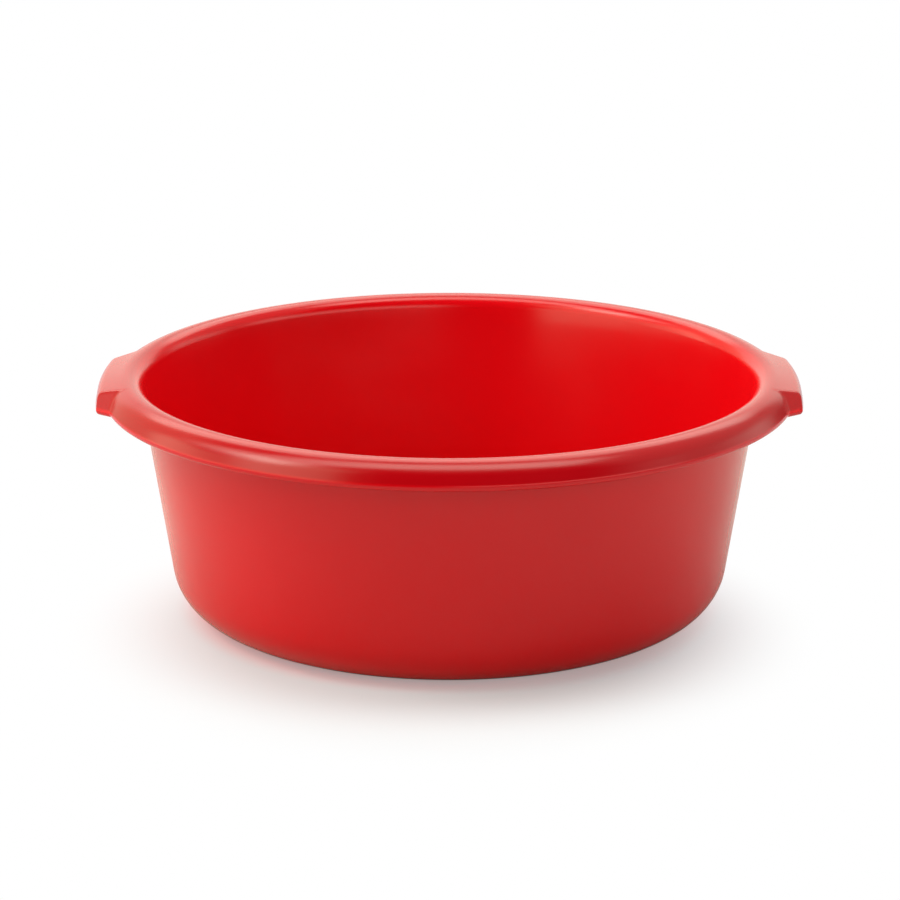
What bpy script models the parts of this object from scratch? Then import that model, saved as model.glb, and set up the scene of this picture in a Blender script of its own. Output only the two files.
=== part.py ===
"""Round plastic washing basin, one moulding with a grip drawn out of its rim on each side.

The basin is a shell of even thickness. Its upper surface is a turned profile: floor, rounded
heel, leaning wall, arched rim, sloping skirt and a lip rolled under. On the two sides along X
the skirt is drawn out to a flatter, wider rim with a steep outer wall and a slanting face at
each end: the grips. The shell's thickness then goes below and outside that surface. Metres,
+Z up, the origin on the ground under the basin's middle.
"""

import math

import bmesh
import bpy
from mathutils import Vector

BASIN_HEIGHT = 0.1405
SHELL_THICKNESS = 0.0018

RIM_RADIUS = 0.1983
CREST_INSET = 0.0136
RIM_DROP = 0.012
RIM_INNER_CURVE = 0.0088
RIM_OUTER_CURVE = 0.01
LIP_CURVE = 0.0026
LIP_ROLL = math.radians(160)

FOOT_RADIUS = 0.1318
HEEL_CURVE = 0.0297
FOOT_RING_WIDTH = 0.0198
FLOOR_PANEL_SLOPE_WIDTH = 0.006
FLOOR_PANEL_RISE = 0.002

GRIP_OVERHANG = 0.0042
GRIP_CURVE_SHIFT = 0.1405
GRIP_HALF_LENGTH = 0.0482
GRIP_END_TURN = math.radians(51.7)
GRIP_END_SLOPE = math.radians(41.3)
GRIP_WALL_SLOPE = math.radians(79)
GRIP_TOP_SLOPE = math.radians(14.4)
GRIP_SHOULDER_CURVE = 0.0049
GRIP_END_EDGE_BLEND = 0.001
GRIP_VALLEY_BLEND = 0.0015

AROUND_STEPS = 96
HEEL_STEPS = 5
INNER_CURVE_STEPS = 4
OUTER_CURVE_STEPS = 4
SKIRT_STEPS = 6
LIP_STEPS = 4
END_STEPS = 2
HALVING_STEPS = 30

MERGE_DISTANCE = 0.00005
SMOOTH_ANGLE = math.radians(35)

PLASTIC_COLOUR = (0.54, 0.008, 0.016, 1.0)
PLASTIC_ROUGHNESS = 0.32

CREST_RADIUS = RIM_RADIUS - CREST_INSET
GRIP_REACH = RIM_RADIUS + GRIP_OVERHANG
GRIP_PLAN_CURVE = GRIP_REACH + GRIP_CURVE_SHIFT
PANEL_FOOT_RADIUS = FOOT_RADIUS - FOOT_RING_WIDTH
PANEL_RADIUS = PANEL_FOOT_RADIUS - FLOOR_PANEL_SLOPE_WIDTH
LIP_CENTRE = (RIM_RADIUS - LIP_CURVE, BASIN_HEIGHT - RIM_DROP)
OUTER_CURVE_CENTRE = (CREST_RADIUS, BASIN_HEIGHT - RIM_OUTER_CURVE)
INNER_CURVE_CENTRE = (CREST_RADIUS, BASIN_HEIGHT - RIM_INNER_CURVE)
HEEL_CENTRE = (FOOT_RADIUS, HEEL_CURVE)


def arc(centre, radius, start, end, steps):
    """Points from angle start to angle end, measured from +X towards +Z, both ends included."""
    angles = [start + (end - start) * step / steps for step in range(steps + 1)]
    return [(centre[0] + radius * math.cos(a), centre[1] + radius * math.sin(a)) for a in angles]


def wall_lean():
    """Angle from upright of the line that touches the heel's curve and the rim's inner curve."""
    run = INNER_CURVE_CENTRE[0] - HEEL_CENTRE[0]
    rise = INNER_CURVE_CENTRE[1] - HEEL_CENTRE[1]
    reach = HEEL_CURVE - SHELL_THICKNESS + RIM_INNER_CURVE
    return math.atan2(run, rise) - math.asin(reach / math.hypot(run, rise))


def skirt_slope():
    """Slope below level of the line that touches the rim's outer curve and the lip's curve."""
    run = LIP_CENTRE[0] - OUTER_CURVE_CENTRE[0]
    fall = OUTER_CURVE_CENTRE[1] - LIP_CENTRE[1]
    narrowing = RIM_OUTER_CURVE - LIP_CURVE
    return math.atan2(fall, run) + math.asin(narrowing / math.hypot(run, fall))


def turned_profile():
    """Upper surface as (radius, height), from the floor's middle out, up, over and under."""
    lean = wall_lean()
    slope = skirt_slope()
    level = math.pi / 2
    panel_height = SHELL_THICKNESS + FLOOR_PANEL_RISE
    floor = [
        (0.0, panel_height),
        (PANEL_RADIUS, panel_height),
        (PANEL_FOOT_RADIUS, SHELL_THICKNESS),
    ]
    heel = arc(HEEL_CENTRE, HEEL_CURVE - SHELL_THICKNESS, -level, -lean, HEEL_STEPS)
    inner = arc(INNER_CURVE_CENTRE, RIM_INNER_CURVE, math.pi - lean, level, INNER_CURVE_STEPS)
    outer = arc(OUTER_CURVE_CENTRE, RIM_OUTER_CURVE, level, level - slope, OUTER_CURVE_STEPS)
    lip = arc(LIP_CENTRE, LIP_CURVE, level - slope, 0.0, 1)
    skirt = []
    for step in range(1, SKIRT_STEPS):
        share = step / SKIRT_STEPS
        skirt.append(tuple(a + (b - a) * share for a, b in zip(outer[-1], lip[0])))
    rolled = arc(LIP_CENTRE, LIP_CURVE, 0.0, level - LIP_ROLL, LIP_STEPS - 1)
    return floor + heel + inner + outer[1:] + skirt + lip + rolled[1:]


def smooth_min(a, b, blend):
    """The smaller of a and b, rounded off where they are within blend of each other."""
    overlap = max(blend - abs(a - b), 0.0)
    return min(a, b) - overlap * overlap / (4 * blend)


def skirt_height(radius):
    """Height of the plain rim outside its crest."""
    slope = skirt_slope()
    offset = radius - CREST_RADIUS
    touch = RIM_OUTER_CURVE * math.sin(slope)
    lip_offset = LIP_CENTRE[0] + LIP_CURVE * math.sin(slope) - CREST_RADIUS
    if offset <= touch:
        return OUTER_CURVE_CENTRE[1] + math.sqrt(RIM_OUTER_CURVE**2 - offset**2)
    if offset <= lip_offset:
        fall = (offset - touch) * math.tan(slope)
        return OUTER_CURVE_CENTRE[1] + RIM_OUTER_CURVE * math.cos(slope) - fall
    inside_lip = min(radius - LIP_CENTRE[0], LIP_CURVE)
    return LIP_CENTRE[1] + math.sqrt(LIP_CURVE**2 - inside_lip**2)


def grip_top_height(radius):
    """Height of the grip's top: the rim's curve, then a straight fall that touches it."""
    touch = RIM_OUTER_CURVE * math.sin(GRIP_TOP_SLOPE)
    offset = radius - CREST_RADIUS
    if offset <= touch:
        return OUTER_CURVE_CENTRE[1] + math.sqrt(RIM_OUTER_CURVE**2 - offset**2)
    fall = (offset - touch) * math.tan(GRIP_TOP_SLOPE)
    return OUTER_CURVE_CENTRE[1] + RIM_OUTER_CURVE * math.cos(GRIP_TOP_SLOPE) - fall


def grip_wall_radius(azimuth):
    """Radius of the foot of the grip's outer wall, an arc flatter than the rim's circle."""
    across = GRIP_CURVE_SHIFT * math.sin(azimuth)
    return math.sqrt(GRIP_PLAN_CURVE**2 - across**2) - GRIP_CURVE_SHIFT * math.cos(azimuth)


def grip_shoulder_centre(azimuth):
    """Radius and height of the middle of the arc that touches the grip's top and its wall."""
    top_fall = math.tan(GRIP_TOP_SLOPE)
    wall_fall = math.tan(GRIP_WALL_SLOPE)
    narrowing = RIM_OUTER_CURVE - GRIP_SHOULDER_CURVE
    at_crest = OUTER_CURVE_CENTRE[1] + narrowing / math.cos(GRIP_TOP_SLOPE)
    at_lip = grip_wall_radius(azimuth) - GRIP_SHOULDER_CURVE / math.sin(GRIP_WALL_SLOPE)
    rise = LIP_CENTRE[1] + (at_lip - CREST_RADIUS) * wall_fall - at_crest
    offset = rise / (wall_fall - top_fall)
    return CREST_RADIUS + offset, at_crest - offset * top_fall


def grip_shoulder_height(radius, azimuth):
    """Height of the grip's top and outer wall, with the arc between them."""
    centre = grip_shoulder_centre(azimuth)
    offset = radius - centre[0]
    if offset <= GRIP_SHOULDER_CURVE * math.sin(GRIP_TOP_SLOPE):
        return grip_top_height(radius)
    if offset <= GRIP_SHOULDER_CURVE * math.sin(GRIP_WALL_SLOPE):
        return centre[1] + math.sqrt(GRIP_SHOULDER_CURVE**2 - offset**2)
    return LIP_CENTRE[1] + (grip_wall_radius(azimuth) - radius) * math.tan(GRIP_WALL_SLOPE)


def grip_corner():
    """Plan position of the foot of the grip's corner, where its wall meets its end face."""
    reach = math.sqrt(GRIP_PLAN_CURVE**2 - GRIP_HALF_LENGTH**2) - GRIP_CURVE_SHIFT
    return Vector((reach, GRIP_HALF_LENGTH))


def grip_end_distance():
    """Distance from the Z axis to the foot line of the grip's end face."""
    corner = grip_corner()
    return corner.x * math.cos(GRIP_END_TURN) + corner.y * math.sin(GRIP_END_TURN)


def grip_height(radius, azimuth):
    """Height of the grip: its top and outer wall, cut by its slanting end face."""
    toward_end = radius * math.cos(max(GRIP_END_TURN - azimuth, 0.0))
    end = LIP_CENTRE[1] + (grip_end_distance() - toward_end) * math.tan(GRIP_END_SLOPE)
    return smooth_min(grip_shoulder_height(radius, azimuth), end, GRIP_END_EDGE_BLEND)


def outline_radius(azimuth):
    """Outermost radius of the rim: its own, or where a wider grip comes down to the lip."""
    low = CREST_RADIUS
    high = GRIP_REACH + GRIP_HALF_LENGTH
    for _ in range(HALVING_STEPS):
        middle = (low + high) / 2
        if grip_height(middle, azimuth) > LIP_CENTRE[1]:
            low = middle
        else:
            high = middle
    return max(RIM_RADIUS, low)


def surface_height(radius, azimuth):
    """Height outside the crest: the higher of skirt and grip, over a valley that widens outward."""
    grip = grip_height(radius, azimuth)
    if radius > RIM_RADIUS:
        return max(grip, LIP_CENTRE[1])
    blend = GRIP_VALLEY_BLEND * (radius - CREST_RADIUS) / CREST_INSET
    return -smooth_min(-skirt_height(radius), -grip, blend)


def end_face_azimuth(radius, height):
    """Azimuth from the X axis at which the plane of the grip's end face has this height."""
    toward_end = grip_end_distance() - (height - LIP_CENTRE[1]) / math.tan(GRIP_END_SLOPE)
    return GRIP_END_TURN - math.acos(toward_end / radius)


def end_face_border(radius, height):
    """Plan position on the end face's plane at this radius and height."""
    azimuth = end_face_azimuth(radius, height)
    return Vector((radius * math.cos(azimuth), radius * math.sin(azimuth)))


def turn_profile(collection):
    """Turn the profile about Z and return the turned surface as a plain mesh object."""
    mesh = bpy.data.meshes.new("profile")
    points = [(radius, 0.0, height) for radius, height in turned_profile()]
    mesh.from_pydata(points, [(i, i + 1) for i in range(len(points) - 1)], [])
    profile = bpy.data.objects.new("profile", mesh)
    collection.objects.link(profile)
    screw = profile.modifiers.new("turned", "SCREW")
    screw.axis = "Z"
    screw.angle = 2 * math.pi
    screw.steps = AROUND_STEPS
    screw.render_steps = AROUND_STEPS
    screw.use_merge_vertices = True
    screw.merge_threshold = MERGE_DISTANCE
    evaluated = profile.evaluated_get(bpy.context.evaluated_depsgraph_get())
    turned = bpy.data.objects.new("basin", bpy.data.meshes.new_from_object(evaluated))
    collection.objects.link(turned)
    bpy.data.objects.remove(profile)
    bpy.data.meshes.remove(mesh)
    return turned


def cut_skirt(form, start, end, grip_end, nearby):
    """Add an edge along the upright plane through two plan positions, near one grip end."""
    near = []
    for face in form.faces:
        middle = face.calc_center_median().xy
        if middle.length > CREST_RADIUS and (middle - grip_end).length < nearby:
            near.append(face)
    edges = {edge for face in near for edge in face.edges}
    verts = {vert for face in near for vert in face.verts}
    along = end - start
    bmesh.ops.bisect_plane(
        form, geom=list(verts) + list(edges) + near, dist=MERGE_DISTANCE,
        plane_co=start.to_3d(), plane_no=Vector((-along.y, along.x, 0.0)),
    )


def draw_skirt_out(form):
    """Move the rim's points outward to the grips' outline, each by its share of the rim."""
    for vert in form.verts:
        radius = vert.co.xy.length
        if radius < CREST_RADIUS + MERGE_DISTANCE:
            continue
        outline = outline_radius(math.atan2(abs(vert.co.y), abs(vert.co.x)))
        if vert.co.z < LIP_CENTRE[1] - MERGE_DISTANCE:
            drawn = radius + outline - RIM_RADIUS
        else:
            share = min((radius - CREST_RADIUS) / (RIM_RADIUS - CREST_RADIUS), 1.0)
            drawn = CREST_RADIUS + (outline - CREST_RADIUS) * share
        vert.co.x *= drawn / radius
        vert.co.y *= drawn / radius


def shape_grips(basin):
    """Draw the rim out into the grips, with edges along the borders of their end faces."""
    form = bmesh.new()
    form.from_mesh(basin.data)
    corner = grip_corner()
    corner_azimuth = math.atan2(corner.y, corner.x)
    foot_azimuth = end_face_azimuth(RIM_RADIUS, LIP_CENTRE[1])
    inner = (CREST_RADIUS + RIM_RADIUS) / 2
    borders = [
        (end_face_border(inner, grip_top_height(inner)),
         end_face_border(RIM_RADIUS, grip_top_height(RIM_RADIUS))),
        (end_face_border(inner, skirt_height(inner)),
         end_face_border(RIM_RADIUS, LIP_CENTRE[1])),
    ]
    quadrants = [Vector((x, y)) for x in (-1.0, 1.0) for y in (-1.0, 1.0)]
    for quadrant in quadrants:
        for step in range(END_STEPS + 1):
            azimuth = corner_azimuth + (foot_azimuth - corner_azimuth) * step / END_STEPS
            ray = Vector((math.cos(azimuth), math.sin(azimuth))) * quadrant
            cut_skirt(form, Vector((0.0, 0.0)), ray, corner * quadrant, GRIP_HALF_LENGTH)
    draw_skirt_out(form)
    for quadrant in quadrants:
        for start, end in borders:
            grip_end = corner * quadrant
            cut_skirt(form, start * quadrant, end * quadrant, grip_end, GRIP_HALF_LENGTH / 2)
    for vert in form.verts:
        radius = vert.co.xy.length
        if radius > CREST_RADIUS + MERGE_DISTANCE and vert.co.z > LIP_CENTRE[1] - MERGE_DISTANCE:
            azimuth = math.atan2(abs(vert.co.y), abs(vert.co.x))
            vert.co.z = surface_height(radius, azimuth)
    form.to_mesh(basin.data)
    form.free()


def add_plastic(basin):
    """Give the moulding its red, half-glossy plastic."""
    plastic = bpy.data.materials.new("red_plastic")
    plastic.use_nodes = True
    shader = plastic.node_tree.nodes["Principled BSDF"]
    shader.inputs["Base Color"].default_value = PLASTIC_COLOUR
    shader.inputs["Roughness"].default_value = PLASTIC_ROUGHNESS
    shader.inputs["Metallic"].default_value = 0.0
    basin.data.materials.append(plastic)


def build_basin():
    """Build the whole moulding in a collection of its own."""
    for item in list(bpy.data.objects):
        bpy.data.objects.remove(item)
    collection = bpy.data.collections.new("plastic_basin")
    bpy.context.scene.collection.children.link(collection)
    basin = turn_profile(collection)
    shape_grips(basin)
    shell = basin.modifiers.new("shell", "SOLIDIFY")
    shell.thickness = SHELL_THICKNESS
    shell.offset = -1.0
    shell.use_even_offset = True
    add_plastic(basin)
    basin.data.shade_smooth()
    basin.data.set_sharp_from_angle(angle=SMOOTH_ANGLE)


build_basin()
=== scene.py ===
"""Looks of a round red plastic washing basin with a grip drawn out of its rim on each side.

Metres, +Z up, the origin on the ground under the basin's middle, +X through one grip. The basin
is one moulding, so it is one closed surface here, worked out as a grid: one direction goes round
the basin, the other goes from the floor's middle out, up the inside, over the rim, round the lip
and back down the outside to the middle of the underside.
"""

import math

import bpy
import numpy as np
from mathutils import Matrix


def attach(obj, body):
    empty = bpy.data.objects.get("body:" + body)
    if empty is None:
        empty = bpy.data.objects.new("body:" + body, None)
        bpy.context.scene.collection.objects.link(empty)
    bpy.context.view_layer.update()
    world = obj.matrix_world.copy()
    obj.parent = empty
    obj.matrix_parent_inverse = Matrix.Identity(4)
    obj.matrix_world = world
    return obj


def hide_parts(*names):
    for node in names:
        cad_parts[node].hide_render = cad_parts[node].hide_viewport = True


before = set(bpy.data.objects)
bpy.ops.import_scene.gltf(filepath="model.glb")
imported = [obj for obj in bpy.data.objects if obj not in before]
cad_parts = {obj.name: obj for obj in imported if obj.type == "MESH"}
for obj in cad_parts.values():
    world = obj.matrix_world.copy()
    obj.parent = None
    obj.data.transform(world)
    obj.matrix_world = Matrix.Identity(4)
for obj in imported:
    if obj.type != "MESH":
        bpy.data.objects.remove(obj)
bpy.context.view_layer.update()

# The camera
# It looks down on the basin from the front, with a long lens, from an adult's standing height
# beside a low table. Its picture is 900 pixels square.

PICTURE_PIXELS = 900
CAMERA_PLACE = (0.00033, -1.8174, 0.6223)
CAMERA_PITCH_DOWN = 0.28422
FOCAL_PIXELS = 3260.75
SENSOR_WIDTH = 36.0

camera_data = bpy.data.cameras.new("camera")
camera_data.sensor_width = SENSOR_WIDTH
camera_data.sensor_fit = "HORIZONTAL"
camera_data.lens = FOCAL_PIXELS / PICTURE_PIXELS * SENSOR_WIDTH
camera = bpy.data.objects.new("camera", camera_data)
camera.location = CAMERA_PLACE
camera.rotation_euler = (math.pi / 2 - CAMERA_PITCH_DOWN, 0.0, 0.0)
bpy.context.scene.collection.objects.link(camera)
bpy.context.scene.camera = camera

# The basin
# One injection moulding of red polypropylene with an even wall. The rim arches over outward and
# falls in a sloping skirt to a lip that is rolled under. On the two sides along X the skirt is
# drawn out to a flatter and wider rim with a steep outer wall and a slanting face at each end.

WALL_THICKNESS = 0.0018
BASIN_HEIGHT = 0.1405
RIM_RADIUS = 0.1983
CREST_RADIUS = 0.1847
RIM_INNER_CURVE = 0.0088
RIM_OUTER_CURVE = 0.01
SKIRT_CURVE = 0.017
SKIRT_CURVE_TURN = math.radians(28.3)
LIP_CURVE = 0.0026
LIP_HEIGHT = BASIN_HEIGHT - 0.012
LIP_END_TURN = math.radians(-70)

FOOT_RADIUS = 0.1318
HEEL_CURVE = 0.0297
PANEL_FOOT_RADIUS = 0.112
PANEL_RADIUS = 0.106
PANEL_RISE = 0.002

GRIP_REACH = 0.2025
GRIP_CURVE_SHIFT = 0.1405
GRIP_HALF_LENGTH = 0.0482
GRIP_END_TURN = math.radians(51.7)
GRIP_END_SLOPE = math.radians(41.3)
GRIP_WALL_SLOPE = math.radians(79)
GRIP_TOP_SLOPE = math.radians(14.4)
GRIP_SHOULDER_CURVE = 0.0049
GRIP_END_EDGE_BLEND = 0.0008
GRIP_VALLEY_BLEND = 0.0015
TOUCH = 0.000000001

LIP_CENTRE_RADIUS = RIM_RADIUS - LIP_CURVE
OUTER_CURVE_HEIGHT = BASIN_HEIGHT - RIM_OUTER_CURVE
INNER_CURVE_HEIGHT = BASIN_HEIGHT - RIM_INNER_CURVE
GRIP_PLAN_CURVE = GRIP_REACH + GRIP_CURVE_SHIFT

opening = SKIRT_CURVE - RIM_OUTER_CURVE
SKIRT_CENTRE_RADIUS = CREST_RADIUS - opening * math.sin(SKIRT_CURVE_TURN)
SKIRT_CENTRE_HEIGHT = OUTER_CURVE_HEIGHT - opening * math.cos(SKIRT_CURVE_TURN)
skirt_run = LIP_CENTRE_RADIUS - SKIRT_CENTRE_RADIUS
skirt_fall = SKIRT_CENTRE_HEIGHT - LIP_HEIGHT
SKIRT_SLOPE = math.atan2(skirt_fall, skirt_run)
SKIRT_SLOPE += math.asin((SKIRT_CURVE - LIP_CURVE) / math.hypot(skirt_run, skirt_fall))

wall_run = CREST_RADIUS - FOOT_RADIUS
wall_rise = INNER_CURVE_HEIGHT - HEEL_CURVE
WALL_LEAN = math.atan2(wall_run, wall_rise)
WALL_LEAN -= math.asin(
    (HEEL_CURVE - WALL_THICKNESS + RIM_INNER_CURVE) / math.hypot(wall_run, wall_rise)
)


def ease(start, end, value):
    """0 at start, 1 at end, and smooth between them (three times the square less twice the cube)."""
    share = np.clip((value - start) / (end - start), 0.0, 1.0)
    return share * share * (3 - 2 * share)


def smooth_min(a, b, blend):
    """The smaller of a and b; within blend of each other, less a quarter of (blend - gap)^2 / blend."""
    overlap = np.maximum(blend - np.abs(a - b), 0.0)
    return np.minimum(a, b) - overlap**2 / (4 * blend)


def skirt_height(radius, depth):
    """Height of the plain rim, depth below its outer skin: an arc about the outer curve's centre,
    a wider arc about the skirt curve's centre, a straight line at the skirt's slope, an arc about
    the lip's centre, and a steep line on down."""
    curve = RIM_OUTER_CURVE - depth
    wide_curve = SKIRT_CURVE - depth
    lip = LIP_CURVE - depth
    offset = radius - CREST_RADIUS
    past = radius - SKIRT_CENTRE_RADIUS
    touch = wide_curve * math.sin(SKIRT_SLOPE)
    lip_touch = LIP_CENTRE_RADIUS + lip * math.sin(SKIRT_SLOPE)
    arch = OUTER_CURVE_HEIGHT + np.sqrt(np.maximum(curve**2 - offset**2, 0.0))
    wide = SKIRT_CENTRE_HEIGHT + np.sqrt(np.maximum(wide_curve**2 - past**2, 0.0))
    arch = np.where(offset < curve * math.sin(SKIRT_CURVE_TURN), arch, wide)
    line = SKIRT_CENTRE_HEIGHT + wide_curve * math.cos(SKIRT_SLOPE)
    line = line - (past - touch) * math.tan(SKIRT_SLOPE)
    past_lip = np.maximum(radius - LIP_CENTRE_RADIUS, 0.0)
    edge = LIP_HEIGHT + np.sqrt(np.maximum(lip**2 - past_lip**2, 0.0))
    edge = edge - np.maximum(past_lip - lip, 0.0) * math.tan(GRIP_WALL_SLOPE)
    return np.where(past < touch, arch, np.where(radius < lip_touch, line, edge))


def grip_shoulder_height(radius, azimuth, depth):
    """Height of the grip without its ends: the rim's arc, a gently falling line, an arc round the
    shoulder, and a steep outer wall that stands on a plan arc flatter than the rim's circle."""
    curve = RIM_OUTER_CURVE - depth
    shoulder = GRIP_SHOULDER_CURVE - depth
    top_fall = math.tan(GRIP_TOP_SLOPE)
    wall_fall = math.tan(GRIP_WALL_SLOPE)
    across = GRIP_CURVE_SHIFT * np.sin(azimuth)
    foot = np.sqrt(GRIP_PLAN_CURVE**2 - across**2) - GRIP_CURVE_SHIFT * np.cos(azimuth)
    narrowing = RIM_OUTER_CURVE - GRIP_SHOULDER_CURVE
    at_crest = OUTER_CURVE_HEIGHT + narrowing / math.cos(GRIP_TOP_SLOPE)
    at_lip = foot - GRIP_SHOULDER_CURVE / math.sin(GRIP_WALL_SLOPE)
    rise = LIP_HEIGHT + (at_lip - CREST_RADIUS) * wall_fall - at_crest
    centre_offset = rise / (wall_fall - top_fall)
    centre_height = at_crest - centre_offset * top_fall
    offset = radius - CREST_RADIUS
    past_centre = offset - centre_offset
    touch = curve * math.sin(GRIP_TOP_SLOPE)
    arch = OUTER_CURVE_HEIGHT + np.sqrt(np.maximum(curve**2 - np.minimum(offset, touch)**2, 0.0))
    top = arch - np.maximum(offset - touch, 0.0) * top_fall
    bend = centre_height + np.sqrt(np.maximum(shoulder**2 - past_centre**2, 0.0))
    wall = LIP_HEIGHT + (foot - depth / math.sin(GRIP_WALL_SLOPE) - radius) * wall_fall
    on_wall = past_centre > shoulder * math.sin(GRIP_WALL_SLOPE)
    on_bend = past_centre > shoulder * math.sin(GRIP_TOP_SLOPE)
    return np.where(on_wall, wall, np.where(on_bend, bend, top))


def grip_end_height(radius, azimuth, depth):
    """Height of the plane of the grip's end face: it rises at its slope from its foot line,
    which stands at a fixed distance from the Z axis, square to the end's turn from X."""
    corner = math.sqrt(GRIP_PLAN_CURVE**2 - GRIP_HALF_LENGTH**2) - GRIP_CURVE_SHIFT
    distance = corner * math.cos(GRIP_END_TURN) + GRIP_HALF_LENGTH * math.sin(GRIP_END_TURN)
    distance -= depth / math.sin(GRIP_END_SLOPE)
    toward_end = radius * np.cos(np.maximum(GRIP_END_TURN - azimuth, 0.0))
    return LIP_HEIGHT + (distance - toward_end) * math.tan(GRIP_END_SLOPE)


def grip_height(radius, azimuth, depth):
    """The lower of the grip's shoulder and its end face, with a crisp edge between them."""
    shoulder = grip_shoulder_height(radius, azimuth, depth)
    return smooth_min(shoulder, grip_end_height(radius, azimuth, depth), GRIP_END_EDGE_BLEND)


def bisect(low, high, above):
    """Halve the span from low to high until it closes where above() turns from true to false."""
    for _ in range(BISECT_STEPS):
        middle = (low + high) / 2
        held = above(middle)
        low = np.where(held, middle, low)
        high = np.where(held, high, middle)
    return low


def rim_height(radius, azimuth, depth):
    """The higher of the skirt and the grip, with a valley between them that softens outward."""
    grip = grip_height(radius, azimuth, depth)
    blend = GRIP_VALLEY_BLEND * ease(CREST_RADIUS, LIP_CENTRE_RADIUS, radius) + TOUCH
    return -smooth_min(-skirt_height(radius, depth), -grip, blend)


def outline_radius(azimuth, depth):
    """Outermost radius: where the rim and grips come down to the height of the lip's centre."""
    start = np.full_like(azimuth, CREST_RADIUS)
    end = np.full_like(azimuth, GRIP_REACH + GRIP_HALF_LENGTH)
    return bisect(start, end, lambda radius: rim_height(radius, azimuth, depth) > LIP_HEIGHT)


def rim_surface(share, azimuth, depth):
    """Radius and height of the rim at this share of the way from its crest to its outline."""
    radius = CREST_RADIUS + (outline_radius(azimuth, depth) - CREST_RADIUS) * share
    return radius, np.maximum(rim_height(radius, azimuth, depth), LIP_HEIGHT)


def arc(centre_radius, centre_height, curve, start, end, steps):
    """Points round a centre in the upright half plane, from angle start to angle end."""
    angle = np.linspace(start, end, steps + 1)
    return centre_radius + curve * np.cos(angle), centre_height + curve * np.sin(angle)


def quadrant_azimuths(share, depth):
    """Azimuths of one quadrant's columns, a row for each share. They close up on the two borders
    of the grip's end face: where its plane meets the shoulder, and where it meets the skirt."""
    def radius(azimuth):
        return CREST_RADIUS + (outline_radius(azimuth, depth) - CREST_RADIUS) * share

    def before_edge(azimuth):
        face = grip_end_height(radius(azimuth), azimuth, depth)
        return face > grip_shoulder_height(radius(azimuth), azimuth, depth)

    def before_valley(azimuth):
        return grip_end_height(radius(azimuth), azimuth, depth) > skirt_height(radius(azimuth), depth)

    last = np.full_like(share, GRIP_END_TURN)
    edge = bisect(np.zeros_like(share), last, before_edge)
    valley = np.maximum(bisect(edge, last, before_valley), edge + NARROWEST_FACE)
    on_grip = 1 - (1 - np.linspace(0.0, 1.0, GRIP_COLUMNS + 1))**2
    on_face = (1 - np.cos(np.linspace(0.0, math.pi, FACE_COLUMNS + 1))) / 2
    rim_shade_share = np.linspace(0.0, 1.0, RIM_COLUMNS + 1)**2
    edge = edge[:, None]
    valley = valley[:, None]
    return np.hstack([
        edge * on_grip[:-1],
        edge + (valley - edge) * on_face[:-1],
        valley + (math.pi / 2 - valley) * rim_shade_share,
    ])


def rim_rows(depth):
    """Rows of azimuth, radius and height over the skirt and grips, from the crest outward."""
    slope = SKIRT_SLOPE
    arch_turn = np.linspace(0.0, SKIRT_CURVE_TURN, ARCH_ROWS + 1)
    wide_turn = np.linspace(SKIRT_CURVE_TURN, slope, WIDE_ROWS + 1)[1:]
    lip_turn = np.linspace(math.pi / 2 - slope, 0.0, LIP_EDGE_ROWS + 1)
    arch = (RIM_OUTER_CURVE - depth) * np.sin(arch_turn)
    wide = SKIRT_CENTRE_RADIUS - CREST_RADIUS + (SKIRT_CURVE - depth) * np.sin(wide_turn)
    arch = np.concatenate([arch, wide])
    lip = LIP_CENTRE_RADIUS - CREST_RADIUS + (LIP_CURVE - depth) * np.cos(lip_turn)
    line = np.linspace(arch[-1], lip[0], SKIRT_ROWS + 1)
    share = np.concatenate([arch, line[1:-1], lip]) / lip[-1]
    azimuth = quadrant_azimuths(share, depth)
    radius, height = rim_surface(share[:, None], azimuth, depth)
    return np.stack([azimuth, radius, height])


def turned_rows(radius, height, crest_azimuth, evenness):
    """Rows of a turned surface. Their azimuths go from the crest's to even ones as evenness
    goes from 0 to 1, which moves the points only round the circle that they are on."""
    even = np.linspace(0.0, math.pi / 2, crest_azimuth.size)
    azimuth = crest_azimuth + (even - crest_azimuth) * np.asarray(evenness)[:, None]
    level = np.ones_like(azimuth)
    return np.stack([azimuth, level * radius[:, None], level * height[:, None]])


def side_rows(depth, crest_azimuth):
    """Rows from the middle of the floor to the rim's crest, depth below the upper skin: the
    raised panel, the ring round it, the heel's arc, the wall and the rim's inner curve."""
    floor_height = WALL_THICKNESS - depth
    heel_curve = HEEL_CURVE - floor_height
    inner_curve = RIM_INNER_CURVE - depth
    middle_rows = PANEL_RADIUS * np.linspace(0.0, 1.0, PANEL_ROWS + 1)
    ramp_rows = np.linspace(PANEL_RADIUS, PANEL_FOOT_RADIUS, RAMP_ROWS + 1)
    ring_rows = np.linspace(PANEL_FOOT_RADIUS, FOOT_RADIUS, RING_ROWS + 1)
    floor = np.concatenate([middle_rows, ramp_rows[1:], ring_rows[1:]])
    rise = floor_height + PANEL_RISE * ease(PANEL_FOOT_RADIUS, PANEL_RADIUS, floor)
    heel = arc(FOOT_RADIUS, HEEL_CURVE, heel_curve, -math.pi / 2, -WALL_LEAN, HEEL_ROWS)
    inner = arc(
        CREST_RADIUS, INNER_CURVE_HEIGHT, inner_curve,
        math.pi - WALL_LEAN, math.pi / 2, INNER_CURVE_ROWS,
    )
    wall_radius = np.linspace(heel[0][-1], inner[0][0], WALL_ROWS + 1)[1:-1]
    wall_height = np.linspace(heel[1][-1], inner[1][0], WALL_ROWS + 1)[1:-1]
    radius = np.concatenate([floor, heel[0][1:], wall_radius, inner[0][:-1]])
    height = np.concatenate([rise, heel[1][1:], wall_height, inner[1][:-1]])
    evenness = 1 - ease(HEEL_CURVE, INNER_CURVE_HEIGHT, height)
    return turned_rows(radius, height, crest_azimuth, evenness)


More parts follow.
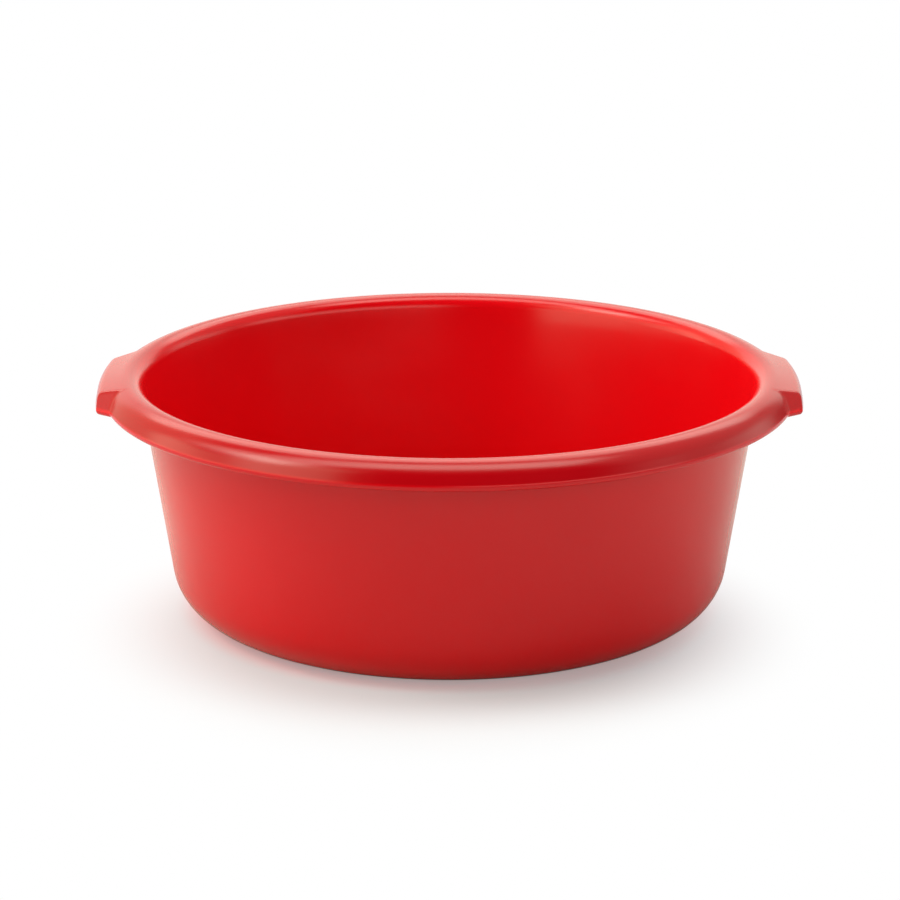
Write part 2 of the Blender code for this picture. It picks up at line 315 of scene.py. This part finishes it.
def lip_rows(outer, inner):
    """Rows round the rolled lip, from the last upper row to the last hidden one: the upper skin's
    arc down and under, a round edge across the wall's thickness, and the hidden skin's arc back."""
    azimuth = np.stack([outer[0], inner[0]])
    turn = np.linspace(0.0, LIP_END_TURN, LIP_ROLL_ROWS + 1)[1:, None]
    inner_curve = LIP_CURVE - WALL_THICKNESS
    over = np.stack([
        outer[1] - LIP_CURVE * (1 - np.cos(turn)), outer[2] + LIP_CURVE * np.sin(turn),
    ])
    under = np.stack([
        inner[1] - inner_curve * (1 - np.cos(turn)), inner[2] + inner_curve * np.sin(turn),
    ])[:, ::-1]
    across = np.linspace(0.0, math.pi, LIP_END_ROWS + 1)[1:-1, None]
    share = (1 - np.cos(across)) / 2
    bulge = np.sin(across) * WALL_THICKNESS / 2
    along = np.array([math.sin(LIP_END_TURN), -math.cos(LIP_END_TURN)])[:, None, None]
    end = over[:, -1:] * (1 - share) + under[:, :1] * share + along * bulge
    path = np.concatenate([over, end, under], axis=1)
    rows = path.shape[1]
    mix = ease(0.0, rows + 1.0, np.arange(1.0, rows + 1.0))[:, None]
    turned = azimuth[0] * (1 - mix) + azimuth[1] * mix
    return np.concatenate([turned[None], path])


def closed_shell(rows):
    """Vertices and faces of the closed surface. The quadrant's columns are mirrored into four
    quadrants; the first and last rows, at radius 0, are one vertex each."""
    azimuth, radius, height = rows[:, 1:-1]
    x = radius * np.cos(azimuth)
    y = radius * np.sin(azimuth)
    across = np.hstack([x, -x[:, -2::-1], -x[:, 1:], x[:, -2:0:-1]])
    along = np.hstack([y, y[:, -2::-1], -y[:, 1:], -y[:, -2:0:-1]])
    up = np.hstack([height, height[:, -2::-1], height[:, 1:], height[:, -2:0:-1]])
    count, around = up.shape
    ring = np.stack([across, along, up], axis=-1).reshape(-1, 3)
    poles = np.array([[0.0, 0.0, rows[2, 0, 0]], [0.0, 0.0, rows[2, -1, 0]]])
    vertices = np.vstack([ring, poles])
    index = np.arange(count * around).reshape(count, around)
    following = np.roll(index, -1, axis=1)
    quads = np.stack([index[:-1], index[1:], following[1:], following[:-1]], axis=-1)
    first = np.full(around, count * around)
    top_fan = np.stack([first, index[0], following[0]], axis=-1)
    base_fan = np.stack([first + 1, following[-1], index[-1]], axis=-1)
    return vertices, quads.reshape(-1, 4), np.vstack([top_fan, base_fan])


def mesh_object(name, vertices, quads, triangles):
    """A smooth-shaded mesh object from whole arrays."""
    corners = np.concatenate([quads.ravel(), triangles.ravel()]).astype(np.int32)
    sizes = np.concatenate([np.full(len(quads), 4), np.full(len(triangles), 3)])
    mesh = bpy.data.meshes.new(name)
    mesh.vertices.add(len(vertices))
    mesh.vertices.foreach_set("co", vertices.astype(np.float32).ravel())
    mesh.loops.add(len(corners))
    mesh.loops.foreach_set("vertex_index", corners)
    mesh.polygons.add(len(sizes))
    starts = np.concatenate([[0], np.cumsum(sizes)[:-1]])
    mesh.polygons.foreach_set("loop_start", starts.astype(np.int32))
    mesh.update(calc_edges=True)
    mesh.validate()
    mesh.shade_smooth()
    made = bpy.data.objects.new(name, mesh)
    bpy.context.scene.collection.objects.link(made)
    return made


BISECT_STEPS = 40
NARROWEST_FACE = math.radians(0.6)
GRIP_COLUMNS = 14
FACE_COLUMNS = 14
RIM_COLUMNS = 48
ARCH_ROWS = 6
WIDE_ROWS = 10
SKIRT_ROWS = 20
LIP_EDGE_ROWS = 7
LIP_ROLL_ROWS = 6
LIP_END_ROWS = 6
PANEL_ROWS = 8
RAMP_ROWS = 6
RING_ROWS = 2
HEEL_ROWS = 12
WALL_ROWS = 14
INNER_CURVE_ROWS = 10

upper_rim = rim_rows(0.0)
hidden_rim = rim_rows(WALL_THICKNESS)
shell_rows = np.concatenate([
    side_rows(0.0, upper_rim[0, 0]),
    upper_rim,
    lip_rows(upper_rim[:, -1], hidden_rim[:, -1]),
    hidden_rim[:, -2::-1],
    side_rows(WALL_THICKNESS, hidden_rim[0, 0])[:, ::-1],
], axis=1)
basin = mesh_object("basin_shell", *closed_shell(shell_rows))

# The plastic is coloured through and comes off a polished steel mould: glossy, with the faint
# waviness of a hand-polished mould and a little haze. Where the rim is double its red is painted
# darker, as painted shade, and the single wall's red lighter, as a painted glow for light shining
# through the thin plastic; the lip's lower edge keeps the lighter red as a painted highlight line.
# The ring it stands on is scuffed dull.
# The wall's reds hold a painted glow, the rim's reds painted shade.
WALL_REDS_PAINTED_GLOW = ((0.64, 0.0014, 0.0052, 1.0), (0.67, 0.0020, 0.0068, 1.0))
RIM_REDS_PAINTED_SHADE = ((0.41, 0.0010, 0.0040, 1.0), (0.43, 0.0014, 0.0052, 1.0))
RIM_SHADE_RADII = (0.1770, 0.1830)
# Below these heights the lip's lower edge keeps the wall's lighter red: a painted highlight line.
LIP_GLOW_HEIGHTS = (0.1288, 0.1304)
PLASTIC_SPECULAR = 0.38
PLASTIC_ROUGHNESS = (0.17, 0.22)
SCUFFED_RED = (0.60, 0.030, 0.034, 1.0)
SCUFFED_ROUGHNESS = 0.45
SCUFF_HEIGHTS = (0.0002, 0.0022)
WAVE_STRETCH = (9.0, 9.0, 30.0)
WAVE_HEIGHT = 0.00022
SKIN_HEIGHT = 0.000006
ONTO_GROUND = (1.0, 1.0, 0.0)

# Each noise has its scale, detail and roughness. Its values that count go from low to high.
CLOUD_NOISE = (7.0, 3.0, 0.55)
SMUDGE_NOISE = (22.0, 5.0, 0.6)
RUB_NOISE = (420.0, 4.0, 0.6)
WAVE_NOISE = (1.0, 1.0, 0.4)
SKIN_NOISE = (700.0, 2.0, 0.5)
CLOUD_RANGE = (0.3, 0.7)
RUB_RANGE = (0.42, 0.62)
RUB_SHARES = (0.15, 0.9)

# A colour Mix node's two colour inputs and its colour output, which share names with others.
MIX_COLOURS = (6, 7)
MIX_RESULT = 2


def add_node(tree, kind, settings=None, **inputs):
    """A shader node with these settings and unlinked input values."""
    made = tree.nodes.new(kind)
    for name, value in (settings or {}).items():
        setattr(made, name, value)
    for name, value in inputs.items():
        made.inputs[name.replace("_", " ")].default_value = value
    return made


def link(tree, source, output, target, socket):
    """Join one node's output to another's input."""
    tree.links.new(source.outputs[output], target.inputs[socket])


def remap(tree, source, output, low, high, start, end):
    """A smooth change from start to end as the source goes from low to high."""
    made = add_node(tree, "ShaderNodeMapRange", {"interpolation_type": "SMOOTHSTEP"})
    for name, value in zip(("From Min", "From Max", "To Min", "To Max"), (low, high, start, end)):
        made.inputs[name].default_value = value
    link(tree, source, output, made, "Value")
    return made


def arithmetic(tree, operation, first, second):
    """A Math node on two inputs, each a number or another node's first output."""
    made = add_node(tree, "ShaderNodeMath", {"operation": operation})
    for socket, value in zip(made.inputs, (first, second)):
        if isinstance(value, (int, float)):
            socket.default_value = value
        else:
            tree.links.new(value.outputs[0], socket)
    return made


def colour_mix(tree, share, first, second):
    """The first colour where the share is 0 and the second where it is 1, each a colour value or
    the node that makes it."""
    made = add_node(tree, "ShaderNodeMix", {"data_type": "RGBA"})
    tree.links.new(share.outputs[0], made.inputs["Factor"])
    for number, value in zip(MIX_COLOURS, (first, second)):
        if isinstance(value, tuple):
            made.inputs[number].default_value = value
        else:
            tree.links.new(value.outputs[MIX_RESULT], made.inputs[number])
    return made


def noise(tree, place, output, kind):
    """A noise texture of this scale, detail and roughness on another node's coordinates."""
    scale, detail, roughness = kind
    made = add_node(tree, "ShaderNodeTexNoise", Scale=scale, Detail=detail, Roughness=roughness)
    link(tree, place, output, made, "Vector")
    return made


def stretched(tree, place, stretch):
    """The Object coordinates, each times its own factor."""
    made = add_node(tree, "ShaderNodeMapping", Scale=stretch)
    link(tree, place, "Object", made, "Vector")
    return made


def red_plastic():
    """The moulding's material, all from Object coordinates."""
    plastic = bpy.data.materials.new("red_plastic")
    plastic.use_nodes = True
    tree = plastic.node_tree
    shader = tree.nodes["Principled BSDF"]
    shader.inputs["Specular IOR Level"].default_value = PLASTIC_SPECULAR
    place = add_node(tree, "ShaderNodeTexCoord")

    parts = add_node(tree, "ShaderNodeSeparateXYZ")
    link(tree, place, "Object", parts, "Vector")

    cloud = noise(tree, place, "Object", CLOUD_NOISE)
    cloud_share = remap(tree, cloud, "Fac", *CLOUD_RANGE, 0.0, 1.0)
    # Painted glow on the single wall and painted shade on the rim, mixed by where the rim lies.
    glowing_wall_red = colour_mix(tree, cloud_share, *WALL_REDS_PAINTED_GLOW)
    shaded_rim_red = colour_mix(tree, cloud_share, *RIM_REDS_PAINTED_SHADE)
    from_axis = add_node(tree, "ShaderNodeVectorMath", {"operation": "LENGTH"})
    link(tree, stretched(tree, place, ONTO_GROUND), "Vector", from_axis, "Vector")
    past_crest = remap(tree, from_axis, "Value", *RIM_SHADE_RADII, 0.0, 1.0)
    # Under the lip's edge the lighter red comes back as a painted highlight line.
    above_lip_glow = remap(tree, parts, "Z", *LIP_GLOW_HEIGHTS, 0.0, 1.0)
    rim_shade_share = arithmetic(tree, "MULTIPLY", past_crest, above_lip_glow)
    reds_with_painted_light = colour_mix(tree, rim_shade_share, glowing_wall_red, shaded_rim_red)

    low_down = remap(tree, parts, "Z", *SCUFF_HEIGHTS, 1.0, 0.0)
    rubbed = noise(tree, place, "Object", RUB_NOISE)
    rubbed_share = remap(tree, rubbed, "Fac", *RUB_RANGE, *RUB_SHARES)
    scuff = arithmetic(tree, "MULTIPLY", low_down, rubbed_share)
    colour = colour_mix(tree, scuff, reds_with_painted_light, SCUFFED_RED)
    link(tree, colour, MIX_RESULT, shader, "Base Color")

    smudge = noise(tree, place, "Object", SMUDGE_NOISE)
    polish = remap(tree, smudge, "Fac", *CLOUD_RANGE, *PLASTIC_ROUGHNESS)
    roughness = add_node(tree, "ShaderNodeMix", {"data_type": "FLOAT"}, B=SCUFFED_ROUGHNESS)
    link(tree, polish, "Result", roughness, "A")
    link(tree, scuff, "Value", roughness, "Factor")
    link(tree, roughness, "Result", shader, "Roughness")

    wave = noise(tree, stretched(tree, place, WAVE_STRETCH), "Vector", WAVE_NOISE)
    skin = noise(tree, place, "Object", SKIN_NOISE)
    waved = add_node(tree, "ShaderNodeBump", Strength=1.0, Distance=WAVE_HEIGHT)
    link(tree, wave, "Fac", waved, "Height")
    skinned = add_node(tree, "ShaderNodeBump", Strength=1.0, Distance=SKIN_HEIGHT)
    link(tree, skin, "Fac", skinned, "Height")
    link(tree, waved, "Normal", skinned, "Normal")
    link(tree, skinned, "Normal", shader, "Normal")
    return plastic


basin.data.materials.append(red_plastic())
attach(basin, "root")
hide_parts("basin")

# The floor
# A matt white table top that the basin stands loose on and throws a soft shadow on. The camera
# sees it lighter than the basin does, with a painted red shadow at the basin's foot for the
# basin's shade and the red light it throws back, and even white farther out. Its front part
# lights the basin less than the rest.

FLOOR_REACH = 6.0
FLOOR_WHITE = (0.55, 0.55, 0.55, 1.0)
FLOOR_FADE = (0.34, 0.55)
FLOOR_FRONT = (-0.50, -0.22)
FLOOR_FRONT_LIGHT = 0.6
FLOOR_SEEN_WHITE = (0.69, 0.73, 0.83, 1.0)
# A painted red shadow at the basin's foot, for its shade and the red light it throws back.
FLOOR_PAINTED_FOOT_SHADOW = (1.0, 0.16, 0.16, 1.0)
FLOOR_PAINTED_SHADOW_RADII = (0.134, 0.162)
FLOOR_SEEN_FADE = (0.113, 0.223)
FLOOR_SEEN_LEAST = 0.3
FLOOR_SEEN_SHIFT = (0.009, 0.05, 0.0)
PLAIN_WHITE = (1.0, 1.0, 1.0, 1.0)


def seen_ray(tree):
    """1 for a ray from the camera or one that glass sends on, else 0. Glossy rays are left out,
    because the plastic's gloss has to meet the studio's lights."""
    path = add_node(tree, "ShaderNodeLightPath")
    seen = arithmetic(tree, "MAXIMUM", 0.0, 0.0)
    link(tree, path, "Is Camera Ray", seen, 0)
    link(tree, path, "Is Transmission Ray", seen, 1)
    return seen


def floor_shader(tree, colour, fade, strength=1.0):
    """Matt, and going over into plain white light of this strength as the fade goes to 1."""
    matt = add_node(tree, "ShaderNodeBsdfDiffuse")
    if isinstance(colour, tuple):
        matt.inputs["Color"].default_value = colour
    else:
        link(tree, colour, MIX_RESULT, matt, "Color")
    white = add_node(tree, "ShaderNodeEmission", Color=PLAIN_WHITE)
    if isinstance(strength, float):
        white.inputs["Strength"].default_value = strength
    else:
        link(tree, strength, "Result", white, "Strength")
    joined = add_node(tree, "ShaderNodeMixShader")
    link(tree, fade, "Result", joined, "Fac")
    link(tree, matt, "BSDF", joined, 1)
    link(tree, white, "Emission", joined, 2)
    return joined


def floor_paint():
    """Matt white near the basin and plain white farther out. The camera sees the white begin
    closer in, a share of it everywhere, and a painted red shadow at the basin's foot."""
    paint = bpy.data.materials.new("white_table")
    paint.use_nodes = True
    tree = paint.node_tree
    tree.nodes.remove(tree.nodes["Principled BSDF"])
    place = add_node(tree, "ShaderNodeTexCoord")
    away = add_node(tree, "ShaderNodeVectorMath", {"operation": "LENGTH"})
    link(tree, place, "Object", away, "Vector")
    parts = add_node(tree, "ShaderNodeSeparateXYZ")
    link(tree, place, "Object", parts, "Vector")
    front = remap(tree, parts, "Y", *FLOOR_FRONT, FLOOR_FRONT_LIGHT, 1.0)
    fade = remap(tree, away, "Value", *FLOOR_FADE, 0.0, 1.0)
    lit = floor_shader(tree, FLOOR_WHITE, fade, front)
    # Painted red shadow at the basin's foot, seen by the camera only.
    past_painted_shadow = remap(tree, away, "Value", *FLOOR_PAINTED_SHADOW_RADII, 0.0, 1.0)
    seen_white_and_painted_shadow = colour_mix(tree, past_painted_shadow, FLOOR_PAINTED_FOOT_SHADOW, FLOOR_SEEN_WHITE)
    shifted = add_node(tree, "ShaderNodeMapping", Location=FLOOR_SEEN_SHIFT)
    link(tree, place, "Object", shifted, "Vector")
    seen_away = add_node(tree, "ShaderNodeVectorMath", {"operation": "LENGTH"})
    link(tree, shifted, "Vector", seen_away, "Vector")
    seen_fade = remap(tree, seen_away, "Value", *FLOOR_SEEN_FADE, FLOOR_SEEN_LEAST, 1.0)
    shown = floor_shader(tree, seen_white_and_painted_shadow, seen_fade)
    joined = add_node(tree, "ShaderNodeMixShader")
    link(tree, seen_ray(tree), "Value", joined, "Fac")
    link(tree, lit, "Shader", joined, 1)
    link(tree, shown, "Shader", joined, 2)
    link(tree, joined, "Shader", tree.nodes["Material Output"], "Surface")
    return paint


floor_mesh = bpy.data.meshes.new("table_top")
corner_signs = ((-1, -1), (1, -1), (1, 1), (-1, 1))
floor_corners = [(x * FLOOR_REACH, y * FLOOR_REACH, 0.0) for x, y in corner_signs]
floor_mesh.from_pydata(floor_corners, [], [(0, 1, 2, 3)])
floor = bpy.data.objects.new("table_top", floor_mesh)
floor.data.materials.append(floor_paint())
bpy.context.scene.collection.objects.link(floor)

# The light
# A studio's cloth softboxes and painted white panels on stands, far enough off to be part of the
# world, the left ones warmer. Each is given in degrees as the basin sees it: its middle's azimuth
# from +X, half its width, its lowest and highest elevation, its border and its brightness.

WARM_LIGHTS = {
    "tall softbox, front left": (214.0, 20.0, -11.5, 28.0, 5.0, 2.4),
    "top of the tall softbox": (207.0, 19.0, 28.0, 56.0, 7.0, 2.4),
    "low softbox, left": (173.0, 19.0, -2.0, 29.0, 5.0, 2.2),
    "grey wall, left": (145.0, 22.0, -12.0, 46.0, 8.0, 0.9),
}
STUDIO_LIGHTS = {
    "lamp between the softboxes": (187.0, 14.0, 43.0, 55.0, 6.0, 7.0),
    "high softbox, left": (179.0, 20.0, 36.0, 57.0, 7.0, 2.6),
    "wide softbox, behind": (90.0, 41.0, 29.0, 66.0, 4.0, 3.4),
    "white wall, behind": (91.0, 33.0, -12.0, 26.0, 6.0, 1.3),
    "low panel, right": (24.0, 16.0, -8.0, 19.0, 6.0, 1.1),
    "strip light, front right": (313.0, 40.0, 12.0, 28.0, 8.0, 2.2),
    "white wall, right": (16.0, 36.0, 9.6, 80.0, 11.0, 0.6),
    "white ceiling": (90.0, 360.0, 70.0, 200.0, 7.0, 0.8),
}

# The softbox overhead hangs level. Its sides and border are shares of its height over the basin.
OVERHEAD_LIGHT = {"across": (-0.62, 0.50), "along": (-0.20, 0.17), "border": 0.09}
OVERHEAD_BRIGHTNESS = 4.2
LEAST_RISE = 0.05
STUDIO_COLOUR = (1.0, 0.99, 0.87, 1.0)
WARM_COLOUR = (1.0, 0.92, 0.66, 1.0)


def light_share(tree, azimuth, elevation, panel):
    """Brightness of one panel in a direction: its own, times a smooth step down past half its
    width on either side, a step up at its lowest elevation and a step down at its highest."""
    middle, half_width, lowest, highest, border, brightness = panel
    turned = arithmetic(tree, "SUBTRACT", azimuth, math.radians(middle))
    wrapped = arithmetic(tree, "WRAP", turned, math.pi)
    wrapped.inputs[2].default_value = -math.pi
    sideways = arithmetic(tree, "ABSOLUTE", wrapped, 0.0)
    side = math.radians(half_width)
    low = math.radians(lowest)
    high = math.radians(highest)
    soft = math.radians(border)
    within = remap(tree, sideways, "Value", side - soft, side + soft, brightness, 0.0)
    above = remap(tree, elevation, "Value", low - soft, low + soft, 0.0, 1.0)
    below = remap(tree, elevation, "Value", high - soft, high + soft, 1.0, 0.0)
    return arithmetic(tree, "MULTIPLY", within, arithmetic(tree, "MULTIPLY", above, below))


def overhead_share(tree, parts):
    """Brightness of the level softbox overhead in a direction: its own within a rectangle of x / z
    and y / z, with a smooth step down at each side. z counts as at least a small rise, which
    leaves directions near the horizon outside; the floor hides those that point down."""
    up = arithmetic(tree, "MAXIMUM", 0.0, LEAST_RISE)
    link(tree, parts, "Z", up, 0)
    level = OVERHEAD_BRIGHTNESS
    border = OVERHEAD_LIGHT["border"]
    for axis, side in (("X", "across"), ("Y", "along")):
        offset = arithmetic(tree, "DIVIDE", 0.0, up)
        link(tree, parts, axis, offset, 0)
        low, high = OVERHEAD_LIGHT[side]
        above = remap(tree, offset, "Value", low - border, low + border, 0.0, 1.0)
        below = remap(tree, offset, "Value", high - border, high + border, 1.0, 0.0)
        level = arithmetic(tree, "MULTIPLY", level, arithmetic(tree, "MULTIPLY", above, below))
    return level


def lights_sum(tree, azimuth, elevation, lights, total):
    """The total so far plus the brightness of each of these lights in a direction."""
    for panel in lights.values():
        total = arithmetic(tree, "ADD", total, light_share(tree, azimuth, elevation, panel))
    return total


def studio():
    """The world: white to the camera, the studio's lights to everything else."""
    world = bpy.data.worlds.new("studio")
    bpy.context.scene.world = world
    world.use_nodes = True
    tree = world.node_tree
    place = add_node(tree, "ShaderNodeTexCoord")
    parts = add_node(tree, "ShaderNodeSeparateXYZ")
    link(tree, place, "Generated", parts, "Vector")
    azimuth = arithmetic(tree, "ARCTAN2", 0.0, 0.0)
    link(tree, parts, "Y", azimuth, 0)
    link(tree, parts, "X", azimuth, 1)
    elevation = arithmetic(tree, "ARCSINE", 0.0, 0.0)
    link(tree, parts, "Z", elevation, 0)
    overhead = overhead_share(tree, parts)
    cool_total = lights_sum(tree, azimuth, elevation, STUDIO_LIGHTS, overhead)
    warm_total = lights_sum(tree, azimuth, elevation, WARM_LIGHTS, 0.0)
    cool = tree.nodes["Background"]
    cool.inputs["Color"].default_value = STUDIO_COLOUR
    link(tree, cool_total, "Value", cool, "Strength")
    warm = add_node(tree, "ShaderNodeBackground", Color=WARM_COLOUR)
    link(tree, warm_total, "Value", warm, "Strength")
    room = add_node(tree, "ShaderNodeAddShader")
    link(tree, cool, "Background", room, 0)
    link(tree, warm, "Background", room, 1)
    plain = add_node(tree, "ShaderNodeBackground", Color=PLAIN_WHITE, Strength=1.0)
    joined = add_node(tree, "ShaderNodeMixShader")
    link(tree, seen_ray(tree), "Value", joined, "Fac")
    link(tree, room, "Shader", joined, 1)
    link(tree, plain, "Background", joined, 2)
    link(tree, joined, "Shader", tree.nodes["World Output"], "Surface")


studio()
bpy.context.scene.view_settings.view_transform = "Standard"
